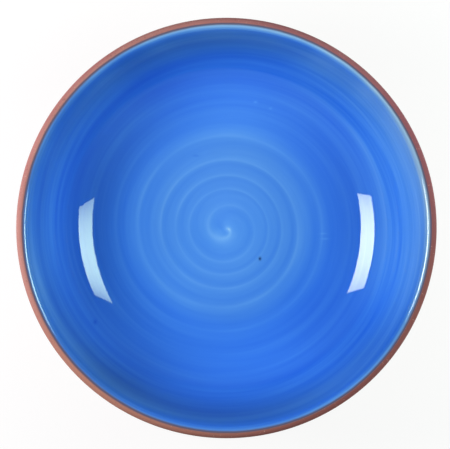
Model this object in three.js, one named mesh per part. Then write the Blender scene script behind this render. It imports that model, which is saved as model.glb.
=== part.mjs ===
// Coupe soup bowl: a red terracotta shell with a white slip coat and a blue glaze lining on its inside.
// Millimetres, +Z up. The origin is on the bowl's axis, in the plane that the foot ring stands on.

import * as THREE from "three";

// Driving dimensions, in millimetres and degrees
const outerDiameter = 210; // across the lip at its widest
const overallHeight = 58; // from the table to the crest of the clay lip
const wallThickness = 5; // of the clay wall, which ends in a full round lip
const floorThickness = 6.5; // of the clay, on the axis
const floorRadius = 50; // where the shallow floor runs into the curve of the wall
const floorEdgeSlope = 6; // slope of the floor where it runs into that curve

const footDiameter = 100; // outside the foot ring
const footWidth = 7; // of the foot ring, from its inner side to its outer side
const footHeight = 2.5; // from the table to the hollow underside of the floor
const footEdgeRadius = 0.8; // rounding of the two edges that the foot ring stands on
const footCoveRadius = 1.5; // hollow fillets where the foot ring meets the shell

const slipThickness = 0.3; // white slip brushed on the clay
const glazeThickness = 0.5; // blue glaze fused on the slip
const bareLipWidth = 2.5; // clay left bare on the lip, seen from above
const glazeLap = 0.75; // how far the glaze runs past the slip's edge, onto the clay

// Facets of the round surfaces
const turnFacets = 64; // round the axis
const floorFacets = 2; // along the floor, in section
const wallFacets = 10; // along the curve of the wall
const lipCoatFacets = 4; // on the lip, under the slip
const lipLapFacets = 2; // on the lip, under the glaze that passes the slip
const lipBareFacets = 6; // on the lip, where the clay is bare
const filletFacets = 3; // on each small fillet of the foot ring

const quarterTurn = Math.PI / 2;
const floorSlope = THREE.MathUtils.degToRad(floorEdgeSlope);

// The section follows a centre line in the middle of the clay: a floor arc centred on the axis,
// then a wall arc that leaves it without a kink and ends at the middle of the round lip.
const halfWall = wallThickness / 2;
const floorTop = footHeight + floorThickness;
const lipCentre = new THREE.Vector2(outerDiameter / 2 - halfWall, overallHeight - halfWall);
const floorRise = floorRadius * Math.tan(floorSlope / 2);
const wallRise = lipCentre.y - (floorTop - halfWall) - floorRise;
const wallReach = lipCentre.x - floorRadius;
const lipSlope = 2 * Math.atan(wallRise / wallReach) - floorSlope;

const floorArcRadius = floorRadius / Math.sin(floorSlope);
const floorArc = {
  radius: floorArcRadius,
  centre: new THREE.Vector2(0, floorTop - halfWall + floorArcRadius),
};
const wallArcRadius = wallReach / (Math.sin(lipSlope) - Math.sin(floorSlope));
const wallArc = {
  radius: wallArcRadius,
  centre: new THREE.Vector2(
    lipCentre.x - wallArcRadius * Math.sin(lipSlope),
    lipCentre.y + wallArcRadius * Math.cos(lipSlope),
  ),
};

// The point that lies at a distance from a centre, along the upward normal of a surface of that slope.
function alongNormal(centre, slope, distance) {
  return new THREE.Vector2(
    centre.x - distance * Math.sin(slope),
    centre.y + distance * Math.cos(slope),
  );
}

// A point of the shell's section by its slope. The offset from the centre line is positive on the inside.
function shellPoint(slope, offset) {
  const arc = slope < floorSlope ? floorArc : wallArc;
  return alongNormal(arc.centre, slope, offset - arc.radius);
}

// The slope of the shell's section where it is this far from the axis, at that offset.
function shellSlope(fromAxis, offset) {
  const onWall = (fromAxis - wallArc.centre.x) / (wallArc.radius - offset);
  const onFloor = fromAxis / (floorArc.radius - offset);
  return Math.asin(onWall > Math.sin(floorSlope) ? onWall : onFloor);
}

// Evenly spaced values between two ends, with both ends.
function steps(from, to, count) {
  return Array.from({ length: count + 1 }, (_, i) => THREE.MathUtils.lerp(from, to, i / count));
}

// Slopes at which the lip's coats end. The lip's slope is zero on its crest and negative outside it.
const glazeEdgeFromAxis = outerDiameter / 2 - bareLipWidth;
const glazeEdgeSlope = Math.asin((lipCentre.x - glazeEdgeFromAxis) / halfWall);
const slipEdgeSlope = Math.asin((lipCentre.x - glazeEdgeFromAxis + glazeLap) / halfWall);

// Section slopes that the clay and its two coats share, so that their faces meet exactly.
const insideSlopes = [
  ...steps(0, floorSlope, floorFacets),
  ...steps(floorSlope, lipSlope, wallFacets).slice(1),
];
const slipLipSlopes = steps(lipSlope, slipEdgeSlope, lipCoatFacets).slice(1);
const lapLipSlopes = steps(slipEdgeSlope, glazeEdgeSlope, lipLapFacets).slice(1);

// A coat keeps its thickness up to the lip, and thins out over the lip to nothing at its edge.
function coatThickness(full, edgeSlope, slope) {
  const share = (slope - edgeSlope) / (lipSlope - edgeSlope);
  return share > 0 ? full * Math.sin(quarterTurn * share) : 0;
}

function slipOnLip(slope) {
  return coatThickness(slipThickness, slipEdgeSlope, slope);
}

function glazeOnLip(slope) {
  return coatThickness(glazeThickness, glazeEdgeSlope, slope);
}

function lipPoint(slope, coat) {
  return alongNormal(lipCentre, slope, halfWall + coat);
}

// Sections of the three inside faces, each from the axis up to the lip
const clayInside = insideSlopes.map((slope) => shellPoint(slope, halfWall));
const slipInside = insideSlopes.map((slope) => shellPoint(slope, halfWall + slipThickness));
const glazeInside = insideSlopes.map((slope) =>
  shellPoint(slope, halfWall + slipThickness + glazeThickness),
);
const clayLip = slipLipSlopes.map((slope) => lipPoint(slope, 0));
const slipLip = slipLipSlopes.map((slope) => lipPoint(slope, slipOnLip(slope)));
const clayLap = lapLipSlopes.map((slope) => lipPoint(slope, 0));
const glazeLip = [...slipLipSlopes, ...lapLipSlopes].map((slope) =>
  lipPoint(slope, slipOnLip(slope) + glazeOnLip(slope)),
);

function filletPoints(centre, radius, from, to) {
  return steps(from, to, filletFacets).map((slope) => alongNormal(centre, slope, radius));
}

// The underside and the foot ring, from the axis out to the foot ring's outer side
function footSection() {
  const outer = footDiameter / 2;
  const inner = outer - footWidth;
  const hollowRadius = Math.min(footCoveRadius, footHeight - footEdgeRadius);
  const hollowCorner = new THREE.Vector2(inner - hollowRadius, footHeight - hollowRadius);
  const innerEdge = new THREE.Vector2(inner + footEdgeRadius, footEdgeRadius);
  const outerEdge = new THREE.Vector2(outer - footEdgeRadius, footEdgeRadius);
  return [
    new THREE.Vector2(0, footHeight),
    ...filletPoints(hollowCorner, hollowRadius, 0, -quarterTurn),
    ...filletPoints(innerEdge, footEdgeRadius, quarterTurn, 2 * quarterTurn),
    ...filletPoints(outerEdge, footEdgeRadius, -2 * quarterTurn, -quarterTurn),
  ];
}

// The outside of the shell, from the foot ring's cove up to the lip
function outsideSection() {
  const coveOffset = -(halfWall + footCoveRadius);
  const coveSlope = shellSlope(footDiameter / 2 + footCoveRadius, coveOffset);
  const coveCentre = shellPoint(coveSlope, coveOffset);
  return [
    ...filletPoints(coveCentre, footCoveRadius, quarterTurn, coveSlope),
    ...steps(coveSlope, lipSlope, wallFacets).slice(1).map((slope) => shellPoint(slope, -halfWall)),
  ];
}

// The bare part of the lip, from the outside wall over to the edge of the glaze
function bareLipSection() {
  const outsideSlope = lipSlope - 2 * quarterTurn;
  return steps(outsideSlope, glazeEdgeSlope, lipBareFacets)
    .slice(1, -1)
    .map((slope) => lipPoint(slope, 0));
}

// A closed section turned about the axis, with +Z up.
function turned(section) {
  return new THREE.LatheGeometry(section, turnFacets).rotateX(quarterTurn);
}

function subPart(name, section, material) {
  const mesh = new THREE.Mesh(turned(section), material);
  mesh.name = name;
  return mesh;
}

const terracotta = new THREE.MeshStandardMaterial({ color: 0xb8765c, roughness: 0.85, metalness: 0 });
const whiteSlip = new THREE.MeshStandardMaterial({ color: 0xeee8dc, roughness: 0.7, metalness: 0 });
const blueGlaze = new THREE.MeshStandardMaterial({ color: 0x2f72dc, roughness: 0.08, metalness: 0 });

const claySection = [
  ...footSection(),
  ...outsideSection(),
  ...bareLipSection(),
  ...clayLap.toReversed(),
  ...clayLip.toReversed(),
  ...clayInside.toReversed(),
];
const slipSection = [
  ...clayInside,
  ...clayLip,
  ...slipLip.slice(0, -1).toReversed(),
  ...slipInside.toReversed(),
];
const glazeSection = [
  ...slipInside,
  ...slipLip,
  ...clayLap,
  ...glazeLip.slice(0, -1).toReversed(),
  ...glazeInside.toReversed(),
];

const bowl = new THREE.Group();
bowl.name = "coupe_soup_bowl";
bowl.add(subPart("terracotta_body", claySection, terracotta));
bowl.add(subPart("white_slip_coat", slipSection, whiteSlip));
bowl.add(subPart("blue_glaze_lining", glazeSection, blueGlaze));

export default bowl;
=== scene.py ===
import math

import bpy
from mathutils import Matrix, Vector


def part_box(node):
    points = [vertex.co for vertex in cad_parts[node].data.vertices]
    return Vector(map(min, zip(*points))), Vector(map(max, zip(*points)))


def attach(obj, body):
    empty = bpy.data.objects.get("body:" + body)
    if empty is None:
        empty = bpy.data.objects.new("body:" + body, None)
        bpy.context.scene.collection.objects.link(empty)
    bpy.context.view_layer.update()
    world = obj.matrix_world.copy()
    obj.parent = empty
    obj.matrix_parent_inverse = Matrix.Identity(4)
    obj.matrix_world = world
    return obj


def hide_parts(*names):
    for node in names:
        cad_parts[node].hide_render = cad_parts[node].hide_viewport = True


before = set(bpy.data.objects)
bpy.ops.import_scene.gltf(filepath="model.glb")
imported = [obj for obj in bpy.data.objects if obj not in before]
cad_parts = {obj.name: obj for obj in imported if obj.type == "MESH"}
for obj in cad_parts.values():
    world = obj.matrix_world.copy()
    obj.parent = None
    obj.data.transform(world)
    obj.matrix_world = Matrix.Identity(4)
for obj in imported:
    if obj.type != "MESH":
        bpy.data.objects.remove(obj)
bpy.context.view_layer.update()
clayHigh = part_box("terracotta_body")[1]
slipLow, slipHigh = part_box("white_slip_coat")
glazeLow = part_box("blue_glaze_lining")[0]
print("frame loaded:", ", ".join(sorted(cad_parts)))

scene = bpy.context.scene
scene.view_settings.view_transform = "Standard"
fullTurn = 2 * math.pi
quarterTurn = math.pi / 2


# camera: straight down, from where the rim fills the photo as it does
photoCamera = {
    "framePixels": (450, 449),
    "rimCentrePixels": (226.445, 228.025),
    "rimRadiusPixels": 210.245,
    "aboveLip": 1.0,  # metres from the widest level of the lip to the lens
    "lipLevel": 0.0555,
    "sensorWidth": 36.0,
}


def makeCamera(view):
    metresPerPixel = clayHigh.x / view["rimRadiusPixels"]
    width, height = view["framePixels"]
    rimX, rimY = view["rimCentrePixels"]
    lens = bpy.data.cameras.new("photoCamera")
    lens.sensor_width = view["sensorWidth"]
    lens.lens = view["sensorWidth"] * view["aboveLip"] / (width * metresPerPixel)
    camera = bpy.data.objects.new("photoCamera", lens)
    camera.location.x = (width / 2 - rimX) * metresPerPixel
    camera.location.y = (rimY - height / 2) * metresPerPixel
    camera.location.z = view["lipLevel"] + view["aboveLip"]
    scene.collection.objects.link(camera)
    scene.camera = camera


makeCamera(photoCamera)
print("camera placed at", [round(c, 4) for c in scene.camera.location])


# node wiring: a wire is one socket, and sums on it add Math nodes
class Wire:
    def __init__(self, tree, socket=None):
        self.tree = tree
        self.socket = socket

    def node(self, kind, settings=None, inputs=None, output=0):
        made = self.tree.nodes.new(kind)
        for name, value in (settings or {}).items():
            if name == "curvePoints":
                bendCurve(made.mapping, value)
            else:
                setattr(made, name, value)
        for name, value in (inputs or {}).items():
            if isinstance(value, Wire):
                self.tree.links.new(value.socket, made.inputs[name])
            else:
                made.inputs[name].default_value = value
        return Wire(self.tree, made.outputs[output] if len(made.outputs) else None)

    def output(self, name):
        return Wire(self.tree, self.socket.node.outputs[name])

    def math(self, operation, *others):
        return self.node("ShaderNodeMath", {"operation": operation}, dict(enumerate((self, *others))))

    def __add__(self, other):
        return self.math("ADD", other)

    def __sub__(self, other):
        return self.math("SUBTRACT", other)

    def __rsub__(self, other):
        return self.math("MULTIPLY_ADD", -1.0, other)

    def __mul__(self, other):
        return self.math("MULTIPLY", other)

    def __truediv__(self, other):
        return self.math("DIVIDE", other)

    def __rpow__(self, base):
        return self.node("ShaderNodeMath", {"operation": "POWER"}, {0: base, 1: self})

    __radd__ = __add__
    __rmul__ = __mul__


mixSockets = {"first": 6, "second": 7, "result": 2}  # a Mix node's colour sockets, by number
noiseMean = 0.5


def emptyTree(owner):
    # the start of a material's, a lamp's or the world's own nodes
    owner.use_nodes = True
    owner.node_tree.nodes.clear()
    return Wire(owner.node_tree)


def bendCurve(mapping, points):
    curve = mapping.curves[0]
    while len(curve.points) < len(points):
        curve.points.new(0.5, 0.5)  # anywhere, until it is placed below
    for point, place in zip(curve.points, points):
        point.location = place
    mapping.update()


def curveOf(value, points, reach, top):
    # a smooth curve through points, given in value's own units up to reach, with heights up to top
    scaled = [(across / reach, up / top) for across, up in points]
    flat = value.node("ShaderNodeFloatCurve", {"curvePoints": scaled}, {"Value": value / reach})
    return flat * top


def ramp(value, low, high):
    # 0 at low, 1 at high, smooth between
    places = {"Value": value, "From Min": low, "From Max": high}
    return value.node("ShaderNodeMapRange", {"interpolation_type": "SMOOTHSTEP"}, places)


def vectorOf(x, y, z):
    made = next(part for part in (x, y, z) if isinstance(part, Wire))
    return made.node("ShaderNodeCombineXYZ", None, {"X": x, "Y": y, "Z": z})


def partsOf(vector):
    split = vector.node("ShaderNodeSeparateXYZ", None, {"Vector": vector})
    return split, split.output("Y"), split.output("Z")


def noise(vector, scale, detail=2.0, roughness=0.5):
    places = {"Vector": vector, "Scale": scale, "Detail": detail, "Roughness": roughness}
    return vector.node("ShaderNodeTexNoise", None, places)


def mixColours(amount, first, second):
    places = {"Factor": amount, mixSockets["first"]: first, mixSockets["second"]: second}
    return amount.node("ShaderNodeMix", {"data_type": "RGBA"}, places, mixSockets["result"])


def fromAxis(x, y):
    return (x * x + y * y).math("SQRT")


def bell(value, width):
    # 1 at zero, falling off to nothing a few widths away
    away = value / width
    return math.e ** (away * away * -1.0)


# section of the bowl: a floor arc, then a wall arc up to a round lip, as in the CAD
bowl = {
    "outerRadius": clayHigh.x,
    "height": clayHigh.z,
    "floorTop": slipLow.z,  # clay, on the axis
    "wall": 0.005,
    "floorRadius": 0.050,
    "floorSlope": math.radians(6.0),
    "slip": glazeLow.z - slipLow.z,
    "glaze": 0.0005,
    "slipEdge": slipHigh.x,
    "slipTaper": 1.5,  # the power by which the slip thins out over the lip
    "footRadius": 0.050,
    "footWidth": 0.007,
    "footHeight": 0.0025,
    "footEdge": 0.0008,
    "footCove": 0.0015,
}

halfWall = bowl["wall"] / 2
lipCentre = (bowl["outerRadius"] - halfWall, bowl["height"] - halfWall)
floorRise = bowl["floorRadius"] * math.tan(bowl["floorSlope"] / 2)
wallRise = lipCentre[1] - (bowl["floorTop"] - halfWall) - floorRise
wallReach = lipCentre[0] - bowl["floorRadius"]
lipSlope = 2 * math.atan(wallRise / wallReach) - bowl["floorSlope"]
floorArc = bowl["floorRadius"] / math.sin(bowl["floorSlope"])
floorArcCentre = (0.0, bowl["floorTop"] - halfWall + floorArc)
wallArc = wallReach / (math.sin(lipSlope) - math.sin(bowl["floorSlope"]))
wallArcCentre = (
    lipCentre[0] - wallArc * math.sin(lipSlope),
    lipCentre[1] + wallArc * math.cos(lipSlope),
)
slipEdgeSlope = math.asin((lipCentre[0] - bowl["slipEdge"]) / halfWall)

# the glaze rounds over the lip on one arc, which meets the glazed wall and ends on the crest of the clay
coats = bowl["slip"] + bowl["glaze"]
glazedArc = wallArc - halfWall - coats
lipAcross = lipCentre[0] - wallArcCentre[0]
lipBelow = wallArcCentre[1] - bowl["height"]
roundRadius = (lipAcross ** 2 + lipBelow ** 2 - glazedArc ** 2) / (2 * (glazedArc - lipBelow))
roundCentre = (lipCentre[0], bowl["height"] - roundRadius)
roundSlope = math.atan2(lipAcross, lipBelow + roundRadius)


def alongNormal(centre, slope, distance):
    return centre[0] - distance * math.sin(slope), centre[1] + distance * math.cos(slope)


def shellPoint(slope, offset):
    # offset from the middle of the clay, positive on the inside
    if slope < bowl["floorSlope"]:
        return alongNormal(floorArcCentre, slope, offset - floorArc)
    return alongNormal(wallArcCentre, slope, offset - wallArc)


def steps(start, end, count):
    return [start + (end - start) * i / count for i in range(count + 1)]


def share(value, start, end):
    return min(max((value - start) / (end - start), 0.0), 1.0)


# a row of the section: place, how much relief it carries, how far it is towards the coat's edge
def sectionRow(place, carry=0.0, towardEdge=0.0):
    return {"place": place, "carry": carry, "towardEdge": towardEdge}


def wallFace(coat, endSlope, counts, reliefEnd=None):
    # floor and wall, from the axis up, with a coat of even thickness
    floorRows, wallRows = counts
    slopes = steps(0.0, bowl["floorSlope"], floorRows)
    slopes += steps(bowl["floorSlope"], endSlope, wallRows)[1:]
    rows = []
    for slope in slopes:
        place = shellPoint(slope, halfWall + coat)
        carry = 1 - share(place[0], *reliefEnd) if reliefEnd else 0.0
        rows.append(sectionRow(place, carry))
    return rows


def lipFace(centre, radius, startSlope, endSlope, count, thick=0.0):
    # over the lip, with a coat that thins out to nothing at its edge
    rows = []
    for slope in steps(startSlope, endSlope, count)[1:]:
        left = share(slope, endSlope, startSlope)
        place = alongNormal(centre, slope, radius + thick * left ** bowl["slipTaper"])
        rows.append(sectionRow(place, 0.0, 1 - left))
    return rows


hiddenRows = (12, 30)  # of a face that another piece covers, on the floor and up the wall


def clayFace(edgeSlope, lipRows):
    over = lipFace(lipCentre, halfWall, lipSlope, edgeSlope, lipRows)
    return wallFace(0.0, lipSlope, hiddenRows) + over


def slipFace(counts, lipRows, reliefEnd=None):
    over = lipFace(lipCentre, halfWall, lipSlope, slipEdgeSlope, lipRows, bowl["slip"])
    return wallFace(bowl["slip"], lipSlope, counts, reliefEnd) + over


def glazeFace(counts, lipRows, reliefEnd):
    over = lipFace(roundCentre, roundRadius, roundSlope, 0.0, lipRows)
    return wallFace(coats, roundSlope, counts, reliefEnd) + over


# slip lining: the clay's face, then its own back to the axis
slipPiece = {
    "counts": (40, 60),
    "lipRows": 20,
    "facets": 192,
    "relief": 0.00008,
    "reliefEnd": (0.045, 0.062),  # the ridges fade out over this radius
}


def slipSection(look):
    shown = slipFace(look["counts"], look["lipRows"], look["reliefEnd"])
    return clayFace(slipEdgeSlope, look["lipRows"]) + shown[-2::-1]


# glaze lining: the slip's face, the clay's past it, then its own back to the axis
glazePiece = {
    "counts": (76, 120),
    "lipRows": 26,
    "lapRows": 6,
    "facets": 320,
    "relief": 0.00003,
    "reliefEnd": (0.045, 0.062),
}


def glazeSection(look):
    lap = lipFace(lipCentre, halfWall, slipEdgeSlope, 0.0, look["lapRows"])
    shown = glazeFace(look["counts"], look["lipRows"], look["reliefEnd"])
    return slipFace(hiddenRows, look["lipRows"]) + lap + shown[-2::-1]


# clay body: underside, foot ring, outside, bare lip, then the face under the coats
clayPiece = {
    "hollowRows": 60,
    "filletRows": 6,
    "wallRows": 110,
    "lipRows": 30,
    "facets": 320,
    "relief": 0.00007,
    "hollowRelief": 0.5,  # share of the relief inside the foot ring
    "hollowCalm": 0.004,  # radius by which it has come in
    "wallRelief": (0.12, 0.85),  # shares of the way up the outside between which the relief is full
}


def filletRows(centre, radius, start, end, count):
    return [sectionRow(alongNormal(centre, slope, radius)) for slope in steps(start, end, count)]


def footRows(look):
    outer = bowl["footRadius"]
    inner = outer - bowl["footWidth"]
    edge, cove = bowl["footEdge"], bowl["footCove"]
    hollow = bowl["footHeight"]
    count = look["filletRows"]
    rows = []
    for radius in steps(0.0, inner - 2 * cove, look["hollowRows"]):
        carry = look["hollowRelief"] * share(radius, 0.0, look["hollowCalm"])
        rows.append(sectionRow((radius, hollow), carry))
    rows += filletRows((inner - cove, hollow - cove), cove, 0.0, -quarterTurn, count)
    rows += filletRows((inner + edge, edge), edge, quarterTurn, 2 * quarterTurn, count)
    rows += filletRows((outer - edge, edge), edge, -2 * quarterTurn, -quarterTurn, count)
    return rows


def outsideRows(look):
    cove = bowl["footCove"]
    coveOffset = halfWall + cove
    coveSlope = math.asin((bowl["footRadius"] + cove - wallArcCentre[0]) / (wallArc + coveOffset))
    coveCentre = shellPoint(coveSlope, -coveOffset)
    rows = filletRows(coveCentre, cove, quarterTurn, coveSlope, look["filletRows"])
    fullFrom, fullTo = look["wallRelief"]
    for slope in steps(coveSlope, lipSlope, look["wallRows"])[1:]:
        along = share(slope, coveSlope, lipSlope)
        carry = share(along, 0.0, fullFrom) * (1 - share(along, fullTo, 1.0))
        rows.append(sectionRow(shellPoint(slope, -halfWall), carry))
    return rows


def claySection(look):
    overLip = steps(lipSlope - 2 * quarterTurn, 0.0, look["lipRows"])[1:]
    bareLip = [sectionRow(alongNormal(lipCentre, slope, halfWall)) for slope in overLip]
    covered = [sectionRow(row["place"]) for row in clayFace(0.0, look["lipRows"])]
    return footRows(look) + outsideRows(look) + bareLip + covered[-2::-1]


# throwing spiral on the floor, left by the maker's finger: radius of the ridge by turns wound
spiral = {
    "path": [
        (0.0, 0.0), (0.0040, 0.25), (0.0098, 0.5), (0.0140, 0.95), (0.0194, 1.5),
        (0.0220, 2.0), (0.0261, 2.5), (0.0294, 3.0), (0.0336, 3.5), (0.0382, 4.0),
        (0.0450, 4.5), (0.0510, 5.0), (0.0566, 5.5), (0.0632, 6.0), (0.0735, 7.0),
        (0.0835, 8.0), (0.0935, 9.0), (0.1030, 10.0),
    ],
    "reach": 0.103,
    "turns": 10.0,
    "core": (0.0008, -0.0007),
    "driftEnd": (-0.0012, 0.0),  # the centre of the winding drifts to here
    "driftReach": 0.045,
    # across one turn, in shares of it: how far outside the crest, how wide, how high
    "bands": [(0.0, 0.075, 0.60), (0.09, 0.17, 0.45), (-0.30, 0.15, -0.40)],
}


def spiralRidges(x, y):
    # about 1 on the crest of the ridge, below 0 in the groove inside it
    drift = (fromAxis(x, y) / spiral["driftReach"]).math("MINIMUM", 1.0)
    (coreX, coreY), (endX, endY) = spiral["core"], spiral["driftEnd"]
    woundX = x - (drift * (endX - coreX) + coreX)
    woundY = y - (drift * (endY - coreY) + coreY)
    wound = curveOf(fromAxis(woundX, woundY), spiral["path"], spiral["reach"], spiral["turns"])
    phase = wound + woundY.math("ARCTAN2", woundX) / fullTurn
    ridges = 0.0
    for offset, width, height in spiral["bands"]:
        fromBand = (phase + (0.5 - offset)).math("FRACT") - 0.5  # in turns, to the nearest band
        ridges = bell(fromBand, width) * height + ridges
    return ridges


# throwing rings: low ones up the outside and round the underside, wound as the wheel turned
rings = {
    "broadPitch": 0.0062,
    "narrowPitch": 0.0023,
    "narrowHeight": 0.35,
    "unevenScale": 45.0,
    "unevenClimb": 9.0,
}


def throwingRings(x, y, z):
    climb = z + fromAxis(x, y)
    wind = y.math("ARCTAN2", x)
    broad = (climb * (fullTurn / rings["broadPitch"]) + wind).math("SINE")
    narrow = (climb * (fullTurn / rings["narrowPitch"]) - wind).math("SINE")
    uneven = noise(vectorOf(x, y, climb * rings["unevenClimb"]), rings["unevenScale"])
    return (broad + narrow * rings["narrowHeight"]) * uneven


# turning tree: a section of rows turned about the axis, with relief along its outward normals
turningInputs = {
    "Facets Round": "NodeSocketInt",
    "Relief Height": "NodeSocketFloat",
    "Material": "NodeSocketMaterial",
}
seamGap = 5e-7  # metres: points nearer than this, at the seam and on the axis, become one


def turningTree(name, relief):
    tree = bpy.data.node_groups.new(name, "GeometryNodeTree")
    tree.interface.new_socket("Geometry", in_out="OUTPUT", socket_type="NodeSocketGeometry")
    tree.interface.new_socket("Section", in_out="INPUT", socket_type="NodeSocketGeometry")
    for label, kind in turningInputs.items():
        tree.interface.new_socket(label, in_out="INPUT", socket_type=kind)
    given = Wire(tree).node("NodeGroupInput")
    section = given.output("Section")
    facets = given.output("Facets Round")

    rowCount = given.node("GeometryNodeAttributeDomainSize", None, {"Geometry": section})
    columnCount = facets + 1
    gridSize = {"Vertices X": rowCount, "Vertices Y": columnCount}
    grid = given.node("GeometryNodeMeshGrid", None, gridSize)
    index = given.node("GeometryNodeInputIndex")
    row = (index / columnCount).math("FLOOR")
    angle = index.math("MODULO", columnCount) / facets * fullTurn

    def ofRow(kind, value):
        places = {"Geometry": section, "Value": value, "Index": row}
        return given.node("GeometryNodeSampleIndex", {"data_type": kind}, places)

    def stored(kind, label):
        return given.node("GeometryNodeInputNamedAttribute", {"data_type": kind}, {"Name": label})

    def acrossAndUp(vector):
        return partsOf(ofRow("FLOAT_VECTOR", vector))[::2]

    radius, height = acrossAndUp(given.node("GeometryNodeInputPosition"))
    outwardRadius, outwardHeight = acrossAndUp(stored("FLOAT_VECTOR", "outward"))
    carry = ofRow("FLOAT", stored("FLOAT", "carry"))
    towardEdge = ofRow("FLOAT", stored("FLOAT", "towardEdge"))

    cosine = angle.math("COSINE")
    sine = angle.math("SINE")
    lift = relief(radius * cosine, radius * sine, height) * carry * given.output("Relief Height")
    reach = radius + outwardRadius * lift
    turned = vectorOf(reach * cosine, reach * sine, height + outwardHeight * lift)

    shell = given.node("GeometryNodeSetPosition", None, {"Geometry": grid, "Position": turned})
    shell = given.node(
        "GeometryNodeStoreNamedAttribute",
        {"data_type": "FLOAT", "domain": "POINT"},
        {"Geometry": shell, "Name": "towardEdge", "Value": towardEdge},
    )
    shell = given.node("GeometryNodeMergeByDistance", None, {"Geometry": shell, "Distance": seamGap})
    shell = given.node("GeometryNodeFlipFaces", None, {"Mesh": shell})
    shell = given.node("GeometryNodeSetShadeSmooth", None, {"Geometry": shell})
    shell = given.node("GeometryNodeRealizeInstances", None, {"Geometry": shell})
    finish = {"Geometry": shell, "Material": given.output("Material")}
    shell = given.node("GeometryNodeSetMaterial", None, finish)
    given.node("NodeGroupOutput", None, {"Geometry": shell})
    return tree


def sectionMesh(name, rows):
    places = [Vector((row["place"][0], 0.0, row["place"][1])) for row in rows]
    mesh = bpy.data.meshes.new(name)
    mesh.from_pydata(places, [(i, i + 1) for i in range(len(rows) - 1)], [])
    outward = mesh.attributes.new("outward", "FLOAT_VECTOR", "POINT")
    for i, item in enumerate(outward.data):
        before = places[max(i - 1, 0)]
        after = places[min(i + 1, len(rows) - 1)]
        along = (after - before).normalized()
        item.vector = (along.z, 0.0, -along.x)
    for label in ("carry", "towardEdge"):
        values = mesh.attributes.new(label, "FLOAT", "POINT")
        for item, row in zip(values.data, rows):
            item.value = row[label]
    return mesh


def turnPiece(name, rows, tree, look, material):
    blank = bpy.data.objects.new(name + "Section", sectionMesh(name + "Section", rows))
    scene.collection.objects.link(blank)
    turning = blank.modifiers.new("turning", "NODES")
    turning.node_group = tree
    given = {"Facets Round": look["facets"], "Relief Height": look["relief"], "Material": material}
    for socket in tree.interface.items_tree:
        if socket.name in given:
            turning[socket.identifier] = given[socket.name]
    depsgraph = bpy.context.evaluated_depsgraph_get()
    mesh = bpy.data.meshes.new_from_object(blank.evaluated_get(depsgraph))
    mesh.name = name
    blank.modifiers.remove(turning)
    bpy.data.objects.remove(blank)
    piece = bpy.data.objects.new(name, mesh)
    scene.collection.objects.link(piece)
    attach(piece, "root")
    print(name, "turned:", len(mesh.vertices), "points,", len(mesh.polygons), "faces")
    return piece


# materials: each starts from object coordinates
def newMaterial(name):
    material = bpy.data.materials.new(name)
    place = emptyTree(material).node("ShaderNodeTexCoord", output="Object")
    return material, place


def finishMaterial(places):
    base = places["Base Color"]
    shader = base.node("ShaderNodeBsdfPrincipled", None, places)
    base.node("ShaderNodeOutputMaterial", None, {"Surface": shader})


def bumpOf(height, look):
    places = {"Height": height, "Strength": look["strength"], "Distance": look["depth"]}
    return height.node("ShaderNodeBump", None, places)


def turnedLines(x, y, along, look):
    # fine lines round the axis, which wander a little
    wander = look["wander"]
    return noise(vectorOf(x * wander, y * wander, along * look["pitch"]), 1.0, look["detail"])


def flecks(place, look):
    return ramp(noise(place, look["scale"], look["detail"]), *look["show"])


# terracotta: fired red clay with grog, turning lines, a worn foot and painted light and shade on its
# sides
paleClay = (0.425, 0.208, 0.182, 1.0)
terracotta = {
    "clay": (0.380, 0.143, 0.140, 1.0),
    "deepClay": (0.325, 0.106, 0.106, 1.0),
    "clouds": {"scale": 26.0, "detail": 3.0, "show": (0.35, 0.70)},
    "lines": {"pitch": 620.0, "wander": 14.0, "detail": 3.0, "show": (0.30, 0.75), "pale": 0.55},
    "wear": {"heights": (0.0012, 0.0002), "pale": 0.5, "smooth": 0.15},  # the foot ring is rubbed
    # painted light and shade: paler and yellower on the lit side to the left and front, darker and
    # redder on the shaded side to the right, laid over in this order
    "paintedSideShading": [
        {"colour": paleClay, "toward": (-0.82, -0.57), "from": 0.5, "by": 0.45},
        {"colour": (0.390, 0.158, 0.098, 1.0), "toward": (-0.30, -0.95), "from": 0.4, "by": 0.60},
        {"colour": (0.205, 0.054, 0.053, 1.0), "toward": (0.86, -0.51), "from": -0.05, "by": 0.9},
        {"colour": (0.235, 0.052, 0.092, 1.0), "toward": (0.74, 0.67), "from": 0.5, "by": 0.55},
    ],
    "toneFade": (0.012, 0.050),  # heights between which these four tones come in, up to the lip
    "toneLow": 0.25,  # share of them that is left at the foot
    "grog": {"scale": 820.0, "detail": 1.0, "show": (0.66, 0.72), "by": 0.55},
    "grogColour": (0.220, 0.078, 0.070, 1.0),
    "sand": {"scale": 1150.0, "detail": 1.0, "show": (0.70, 0.76), "by": 0.5},
    "sandColour": (0.560, 0.350, 0.300, 1.0),
    "grain": {"scale": 1500.0, "detail": 2.0, "rough": 0.08},
    "roughness": 0.82,
    "relief": {"lines": 0.6, "grain": 0.4, "grog": 0.3},
    "bump": {"strength": 0.35, "depth": 0.0002},
}


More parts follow.
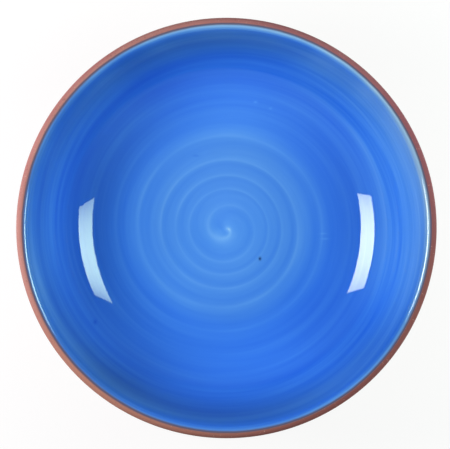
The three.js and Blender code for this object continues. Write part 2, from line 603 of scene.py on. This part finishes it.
def makeTerracotta(look):
    material, place = newMaterial("terracottaClay")
    x, y, z = partsOf(place)
    turning, worn, relief = look["lines"], look["wear"], look["relief"]
    lines = turnedLines(x, y, z + fromAxis(x, y), turning)
    grain = noise(place, look["grain"]["scale"], look["grain"]["detail"])
    grog = flecks(place, look["grog"])
    sand = flecks(place, look["sand"])
    wear = ramp(z, *worn["heights"])
    tone = mixColours(flecks(place, look["clouds"]), look["deepClay"], look["clay"])
    tone = mixColours(ramp(lines, *turning["show"]) * turning["pale"], tone, paleClay)
    tone = mixColours(wear * worn["pale"], tone, paleClay)
    # painted light and shade by side, strongest near the lip
    nearLip = ramp(z, *look["toneFade"]) * (1 - look["toneLow"]) + look["toneLow"]
    for side in look["paintedSideShading"]:
        sideX, sideY = side["toward"]
        toward = (x * sideX + y * sideY) / bowl["outerRadius"]
        amount = ramp(toward, side["from"], 1.0) * nearLip * side["by"]
        tone = mixColours(amount, tone, side["colour"])
    tone = mixColours(grog * look["grog"]["by"], tone, look["grogColour"])
    tone = mixColours(sand * look["sand"]["by"], tone, look["sandColour"])
    height = lines * relief["lines"] + grain * relief["grain"] - grog * relief["grog"]
    finishMaterial({
        "Base Color": tone,
        "Roughness": look["roughness"] - wear * worn["smooth"] + grain * look["grain"]["rough"],
        "Normal": bumpOf(height, look["bump"]),
    })
    return material


# white slip: the pale ground brushed on the clay under the glaze
whiteSlip = {
    "slipColour": (0.800, 0.770, 0.700, 1.0),
    "thinColour": (0.700, 0.580, 0.480, 1.0),
    "brush": {"pitch": 900.0, "wander": 20.0, "detail": 2.0, "show": (0.62, 0.80), "thin": 0.4},
    "roughness": 0.7,
    "brushRough": 0.1,
    "bump": {"strength": 0.2, "depth": 0.0001},
}


def makeWhiteSlip(look):
    material, place = newMaterial("whiteSlip")
    x, y = partsOf(place)[:2]
    brush = turnedLines(x, y, fromAxis(x, y), look["brush"])
    thin = ramp(brush, *look["brush"]["show"]) * look["brush"]["thin"]
    finishMaterial({
        "Base Color": mixColours(thin, look["slipColour"], look["thinColour"]),
        "Roughness": look["roughness"] + brush * look["brushRough"],
        "Normal": bumpOf(brush, look["bump"]),
    })
    return material


# blue glaze: a clear blue film over white, pale where it is thin and deep where it pooled, over a ground
# that carries painted light and shade
blueGlaze = {
    "clearness": (0.033, 0.185, 0.775),  # light left after a film of thickness 1, by colour
    "reach": 0.1035,  # radius at which the curves below end
    "film": [
        (0.0, 0.71), (0.006, 0.75), (0.030, 0.79), (0.040, 0.81), (0.045, 0.85), (0.050, 0.92),
        (0.056, 1.00), (0.064, 1.04), (0.072, 1.045), (0.080, 1.085), (0.086, 1.07), (0.092, 1.02),
        (0.0946, 0.94), (0.097, 0.82), (0.0995, 0.82), (0.1035, 0.82),
    ],
    "filmTop": 1.2,
    "paleCentre": (-0.0010, 0.0025),  # the pale floor lies a little to one side
    "paleReach": (0.075, 0.052),
    # how pale the ground under the film is by radius: the slip's own paleness, with painted shade on the
    # steep wall under the lip
    "litAndShadedGround": [
        (0.0, 0.93), (0.014, 0.885), (0.029, 0.865), (0.044, 0.915), (0.054, 0.98), (0.064, 0.97),
        (0.080, 0.98), (0.086, 0.95), (0.091, 0.85), (0.096, 0.75), (0.098, 0.76), (0.100, 0.82),
        (0.1035, 0.80),
    ],
    # painted light and shade: how much paler it is to the left and right than at the top and bottom, lit
    # near the lip and shaded lower down where the rim hides the lamps, then towards the side that took
    # less glaze, paler on its wall, which faces the left lamp, and darker under its lip
    "sideLightAndShade": [
        (0.0, 0.5), (0.034, 0.5), (0.044, 0.54), (0.052, 0.525), (0.061, 0.485), (0.067, 0.46),
        (0.073, 0.475), (0.079, 0.515), (0.085, 0.59), (0.090, 0.66), (0.0965, 0.68), (0.0985, 0.58),
        (0.100, 0.48), (0.1035, 0.48),
    ],
    "leanLightAndShade": [
        (0.0, 0.5), (0.050, 0.5), (0.056, 0.53), (0.061, 0.553), (0.067, 0.57), (0.073, 0.58),
        (0.079, 0.577), (0.085, 0.557), (0.090, 0.565), (0.095, 0.575), (0.0985, 0.50),
        (0.1035, 0.46),
    ],
    "evenLightAndShade": 0.5,  # the height of those two that changes nothing
    # how much thinner the film is on the spiral's crest, then how much it varies in streaks
    "ridge": [
        (0.0, 0.10), (0.0035, 0.19), (0.008, 0.15), (0.013, 0.08), (0.020, 0.07), (0.028, 0.085),
        (0.036, 0.11), (0.046, 0.11), (0.053, 0.08), (0.060, 0.06), (0.075, 0.05), (0.1035, 0.05),
    ],
    "streak": [
        (0.0, 0.10), (0.030, 0.14), (0.052, 0.20), (0.065, 0.34), (0.078, 0.46), (0.088, 0.80),
        (0.097, 0.80), (0.1035, 0.30),
    ],
    "uneven": {"scale": 34.0, "detail": 1.0, "gain": 1.6, "least": 0.2},  # the ridge comes and goes
    "coreThin": 0.25,  # the maker's finger lifted here
    "coreSize": 0.0015,
    "thinToward": (0.95, 0.31),  # one side of the wall took less glaze
    "thinAcross": (0.55, 1.0),
    "thinFrom": (0.062, 0.088),
    "thinBy": 0.24,
    "lipThin": (0.0992, 0.1018),  # the film drains off the lip over this radius, sooner on that side
    "lipThinLean": 0.0008,
    "lipThinBy": 0.24,
    "milk": 0.0065,  # fine bubbles scatter a little white light in the thick glaze of the upper wall
    "milkFrom": (0.078, 0.086),
    "lapColour": (0.098, 0.082, 0.148, 1.0),  # past the slip, straight on the clay
    "lapRun": 0.25,  # share of the way over the lip by which it comes in
    "edgeColour": (0.300, 0.125, 0.115, 1.0),  # where it thins out to nothing
    "edgePast": 0.04,  # how far past the slip that begins
    "edgeRough": 0.5,
    "edgeLean": 0.035,  # it was wiped off the lip a little to one side, by an uneven hand
    "edgeWobble": 0.10,
    "wobbleScale": 70.0,
    "pinholeColour": (0.006, 0.030, 0.130, 1.0),
    "roughness": 0.02,
    "gloss": 0.50,
    "glossTint": (0.90, 1.0, 0.85, 1.0),
    "lipShine": 0.45,  # the glaze gathers, smooth and thick, where it turns over the lip
    "lipShineFrom": (0.35, 0.55),
    "swellScale": 130.0,
    "bump": {"strength": 0.02, "depth": 0.0004},
}

# patches and specks in the glaze, and two painted glints: where, how far along x and y, how much thicker
# the film is
glazeMarksAndGlints = [
    {"at": (0.0100, 0.0580), "size": (0.0340, 0.0200), "film": -0.10},
    {"at": (-0.0800, 0.0350), "size": (0.0200, 0.0380), "film": 0.10},
    {"at": (-0.0470, 0.0750), "size": (0.0220, 0.0140), "film": 0.06},
    {"at": (-0.0100, 0.0900), "size": (0.0600, 0.0090), "film": 0.07},
    {"at": (0.0650, 0.0640), "size": (0.0180, 0.0180), "film": 0.10},
    {"at": (0.0000, -0.0950), "size": (0.0520, 0.0080), "film": 0.12},
    {"at": (0.0260, 0.0960), "size": (0.0140, 0.0050), "film": -0.10},
    {"at": (0.0490, 0.0855), "size": (0.0130, 0.0065), "film": -0.09},
    {"at": (0.0705, 0.0690), "size": (0.0065, 0.0065), "film": -0.08},
    {"at": (0.0830, -0.0180), "size": (0.0120, 0.0240), "film": -0.06},
    {"at": (-0.0320, 0.0760), "size": (0.0240, 0.0150), "film": 0.08},
    {"at": (0.0400, -0.0400), "size": (0.0180, 0.0180), "film": 0.06},
    {"at": (-0.0940, -0.0200), "size": (0.0065, 0.0270), "film": -0.12},
    {"at": (-0.0050, 0.0990), "size": (0.0220, 0.0045), "film": -0.18},
    {"at": (-0.0360, 0.0920), "size": (0.0150, 0.0055), "film": -0.15},
    {"at": (-0.0640, 0.0770), "size": (0.0110, 0.0080), "film": -0.10},
    {"at": (-0.0910, 0.0440), "size": (0.0055, 0.0140), "film": -0.10},
    {"at": (-0.0674, -0.0483), "size": (0.0008, 0.0011), "film": 0.30},
    {"at": (-0.0038, -0.0027), "size": (0.0032, 0.0026), "film": -0.08},
    {"at": (-0.0159, 0.0376), "size": (0.0016, 0.0006), "film": 0.10},
    {"at": (0.0151, 0.0653), "size": (0.0010, 0.0007), "film": -0.16},
    {"at": (0.0229, 0.0620), "size": (0.0010, 0.0007), "film": -0.12},
    # painted glints: two thin pale dashes where small dimples in the glaze catch the light
    {"at": (0.0505, -0.0030), "size": (0.0020, 0.0005), "film": -0.10},
    {"at": (0.0515, -0.0057), "size": (0.0020, 0.0005), "film": -0.12},
]
# paler and darker patches in the ground under the film: where, how far along x and y, how much paler it
# is
groundPatches = [
    {"at": (-0.0880, 0.0000), "size": (0.0140, 0.0340), "paler": 0.08},
    {"at": (-0.0480, -0.0740), "size": (0.0300, 0.0180), "paler": -0.09},
    {"at": (-0.0600, -0.0780), "size": (0.0260, 0.0110), "paler": -0.05},
    {"at": (0.0780, -0.0340), "size": (0.0200, 0.0180), "paler": 0.07},
    {"at": (0.0580, 0.0560), "size": (0.0260, 0.0260), "paler": 0.05},
    {"at": (0.0510, -0.0760), "size": (0.0270, 0.0140), "paler": 0.09},
    {"at": (0.0340, 0.0840), "size": (0.0260, 0.0130), "paler": 0.08},
    {"at": (0.0240, 0.0040), "size": (0.0170, 0.0200), "paler": 0.04},
]
pinhole = {"at": (0.0175, -0.0161), "size": (0.00070, 0.00088)}

# streaks of the film, drawn out along the winding
streaks = {
    "slant": 77.0,  # turns for each metre outwards
    "across": 3.9,
    "along": 3.6,
    "detail": 3.0,
    "roughness": 0.62,
    "seeds": (1.3, 8.1),
    "crossOver": (0.10, 0.40),  # in turns
}


def slantedStreaks(x, y):
    # noise in two halves that cross over, so that neither shows its seam
    radius = fromAxis(x, y)
    wind = y.math("ARCTAN2", x) / fullTurn
    near, far = streaks["crossOver"]
    turns = (wind, (wind + 1.0).math("FRACT"))
    weights = (ramp(wind.math("ABSOLUTE"), far, near), ramp(wind.math("ABSOLUTE"), near, far))
    spread = 0.0
    for turn, seed, weight in zip(turns, streaks["seeds"], weights):
        across = (radius * streaks["slant"] + turn) * streaks["across"]
        drawn = vectorOf(across, turn * streaks["along"], seed)
        grain = noise(drawn, 1.0, streaks["detail"], streaks["roughness"])
        spread = (grain - noiseMean) * weight + spread
    return spread


def spot(x, y, mark):
    # 1 in the middle of an oval mark
    markX, markY = mark["at"]
    width, height = mark["size"]
    return bell(fromAxis((x - markX) / width, (y - markY) / height), 1.0)


def byRadius(look, curve, radius, top=1.0):
    return curveOf(radius, look[curve], look["reach"], top)


def towardThinSide(look, x, y):
    # 1 straight towards the side that took less glaze, -1 straight away from it
    thinX, thinY = look["thinToward"]
    return (x * thinX + y * thinY) / fromAxis(x, y)


def glazeFilm(look, x, y):
    # how thick the film is
    radius = fromAxis(x, y)
    paleX, paleY = look["paleCentre"]
    aside = ramp(radius, *look["paleReach"])
    film = byRadius(look, "film", fromAxis(x - aside * paleX, y - aside * paleY), look["filmTop"])
    patchy = look["uneven"]
    uneven = noise(vectorOf(x, y, 0.0), patchy["scale"], patchy["detail"])
    uneven = uneven * patchy["gain"] + patchy["least"]
    film = film - spiralRidges(x, y) * byRadius(look, "ridge", radius) * uneven
    film = film + slantedStreaks(x, y) * byRadius(look, "streak", radius)
    coreX, coreY = spiral["core"]
    film = film - bell(fromAxis(x - coreX, y - coreY), look["coreSize"]) * look["coreThin"]
    toward = towardThinSide(look, x, y)
    thin = ramp(toward, *look["thinAcross"]) * ramp(radius, *look["thinFrom"])
    film = film - thin * look["thinBy"]
    film = film - ramp(radius + toward * look["lipThinLean"], *look["lipThin"]) * look["lipThinBy"]
    # film patches and specks, and the two painted glints
    for mark in glazeMarksAndGlints:
        film = film + spot(x, y, mark) * mark["film"]
    return film


def groundWithLightAndShade(look, x, y):
    # how pale the ground is that shows through the film: the slip's own paleness with painted light and
    # shade laid on by radius and by side
    radius = fromAxis(x, y)
    sideways = (x * x - y * y) / (radius * radius)
    leaning = towardThinSide(look, x, y)
    litAndShadedGround = byRadius(look, "litAndShadedGround", radius)
    # painted light at the sides facing the lamps and painted shade at the top and bottom, then more
    # towards one side
    litAndShadedGround = litAndShadedGround + (byRadius(look, "sideLightAndShade", radius) - look["evenLightAndShade"]) * sideways
    litAndShadedGround = litAndShadedGround + (byRadius(look, "leanLightAndShade", radius) - look["evenLightAndShade"]) * leaning
    for mark in groundPatches:
        litAndShadedGround = litAndShadedGround + spot(x, y, mark) * mark["paler"]
    return litAndShadedGround


def makeBlueGlaze(look):
    material, place = newMaterial("blueGlaze")
    x, y = partsOf(place)[:2]
    film = glazeFilm(look, x, y)
    # the ground under the film, with painted light and shade in it
    litAndShadedGround = groundWithLightAndShade(look, x, y)
    leaning = towardThinSide(look, x, y)
    milk = ramp(fromAxis(x, y), *look["milkFrom"]) * (1 - leaning) * look["milk"]
    red, green, blue = (litAndShadedGround * clear ** film + milk for clear in look["clearness"])
    colour = film.node("ShaderNodeCombineColor", None, {"Red": red, "Green": green, "Blue": blue})
    colour = mixColours(spot(x, y, pinhole), colour, look["pinholeColour"])
    towardEdge = film.node("ShaderNodeAttribute", {"attribute_name": "towardEdge"}, None, "Fac")
    wobble = (noise(place, look["wobbleScale"]) - noiseMean) * look["edgeWobble"]
    towardEdge = towardEdge - leaning * look["edgeLean"] + wobble
    # where the slip stops, as a share of the way over the lip
    slipEnd = 1 - math.asin((lipCentre[0] - bowl["slipEdge"]) / roundRadius) / roundSlope
    lap = ramp(towardEdge, slipEnd - look["lapRun"], slipEnd)
    colour = mixColours(lap, colour, look["lapColour"])
    bare = ramp(towardEdge, slipEnd + look["edgePast"], 1.0)
    finishMaterial({
        "Base Color": mixColours(bare, colour, look["edgeColour"]),
        "Roughness": look["roughness"] + bare * look["edgeRough"],
        "Specular IOR Level": look["gloss"],
        "Specular Tint": look["glossTint"],
        "Coat Weight": ramp(towardEdge, *look["lipShineFrom"]) * (1 - bare) * look["lipShine"],
        "Normal": bumpOf(noise(place, look["swellScale"]), look["bump"]),
    })
    return material


# the three pieces, from the clay out
clayTree = turningTree("turnedClay", throwingRings)
coatTree = turningTree("turnedCoat", lambda x, y, z: spiralRidges(x, y))

clayFinish = makeTerracotta(terracotta)
clayBody = turnPiece("thrownClayBody", claySection(clayPiece), clayTree, clayPiece, clayFinish)
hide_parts("terracotta_body")

slipFinish = makeWhiteSlip(whiteSlip)
slipLining = turnPiece("brushedSlipLining", slipSection(slipPiece), coatTree, slipPiece, slipFinish)
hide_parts("white_slip_coat")

glazeFinish = makeBlueGlaze(blueGlaze)
glazeLining = turnPiece("blueGlazeLining", glazeSection(glazePiece), coatTree, glazePiece, glazeFinish)
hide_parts("blue_glaze_lining")


# studio: white table, two softboxes and a soft surround
studio = {
    "tableSize": 6.0,
    "tableColour": (0.98, 0.93, 0.97, 1.0),
    "tableWhite": 0.85,  # how far the table shows as plain white
    "surround": 0.05,
    # a dim dome over the table, brighter in front and at the back than at the sides
    "domeRise": (0.0, 0.35),
    "domeFront": 0.38,
    "domeBack": 0.22,
    "domeSides": 0.14,
}
softboxes = {
    "leftSoftbox": {
        "at": (-0.360, 0.037, 0.291),
        "size": (0.132, 0.261),
        "turn": (-9.7, -58.0, 1.1),
        "power": 2.10,
        "colour": (1.0, 1.0, 0.97),
        "endLoss": 0.45,  # the cloth dims by this share towards the ends of the lamp
    },
    "rightSoftbox": {
        "at": (0.437, 0.084, 0.347),
        "size": (0.170, 0.330),
        "turn": (6.6, 35.2, 5.1),
        "power": 2.75,
        "colour": (0.80, 1.0, 0.86),
        "endLoss": 0.6,
    },
}


def makeSoftbox(name, look):
    lamp = bpy.data.lights.new(name, "AREA")
    lamp.shape = "RECTANGLE"
    lamp.size, lamp.size_y = look["size"]
    lamp.energy = look["power"]
    lamp.color = look["colour"]
    face = emptyTree(lamp).node("ShaderNodeNewGeometry", output="Parametric")
    along = partsOf(face)[1]
    fromMiddle = along * 2.0 - 1.0
    glow = 1 - fromMiddle * fromMiddle * look["endLoss"]
    cloth = glow.node("ShaderNodeEmission", None, {"Strength": glow})
    glow.node("ShaderNodeOutputLight", None, {"Surface": cloth})
    box = bpy.data.objects.new(name, lamp)
    box.location = look["at"]
    box.rotation_euler = [math.radians(angle) for angle in look["turn"]]
    box.visible_camera = False
    scene.collection.objects.link(box)


def shownTo(start, *rays):
    # 1 for these rays, which see a plain background, 0 for those that carry its light
    path = start.node("ShaderNodeLightPath")
    shown = path.output(rays[0])
    for ray in rays[1:]:
        shown = shown.math("MAXIMUM", path.output(ray))
    return shown


def makeTable(look):
    half = look["tableSize"] / 2
    mesh = bpy.data.meshes.new("studioTable")
    corners = [(-half, -half, 0.0), (half, -half, 0.0), (half, half, 0.0), (-half, half, 0.0)]
    mesh.from_pydata(corners, [], [(0, 1, 2, 3)])
    table = bpy.data.objects.new("studioTable", mesh)
    scene.collection.objects.link(table)
    material = bpy.data.materials.new("whiteTable")
    start = emptyTree(material)
    plain = shownTo(start, "Is Camera Ray", "Is Glossy Ray", "Is Transmission Ray") * look["tableWhite"]
    matte = start.node("ShaderNodeBsdfDiffuse", None, {"Color": look["tableColour"]})
    white = start.node("ShaderNodeEmission", None, {"Strength": 1.0})
    surface = start.node("ShaderNodeMixShader", None, {0: plain, 1: matte, 2: white})
    start.node("ShaderNodeOutputMaterial", None, {"Surface": surface})
    mesh.materials.append(material)


def makeSurround(look):
    world = bpy.data.worlds.new("softSurround")
    scene.world = world
    start = emptyTree(world)
    plain = shownTo(start, "Is Camera Ray", "Is Transmission Ray")  # the glaze mirrors the dim dome
    x, y, height = partsOf(start.node("ShaderNodeTexCoord", output="Generated"))
    back = y / fromAxis(x, y)
    mean = (look["domeFront"] + look["domeBack"]) / 2 - look["domeSides"]
    lean = (look["domeBack"] - look["domeFront"]) / 2
    dome = back * back * mean + back * lean + look["domeSides"]
    light = ramp(height, *look["domeRise"]) * dome + look["surround"]
    strength = plain + light * (1 - plain)
    sky = start.node("ShaderNodeBackground", None, {"Color": (1, 1, 1, 1), "Strength": strength})
    start.node("ShaderNodeOutputWorld", None, {"Surface": sky})


for boxName, boxLook in softboxes.items():
    makeSoftbox(boxName, boxLook)
makeTable(studio)
makeSurround(studio)
print("studio lit with", len(softboxes), "softboxes")
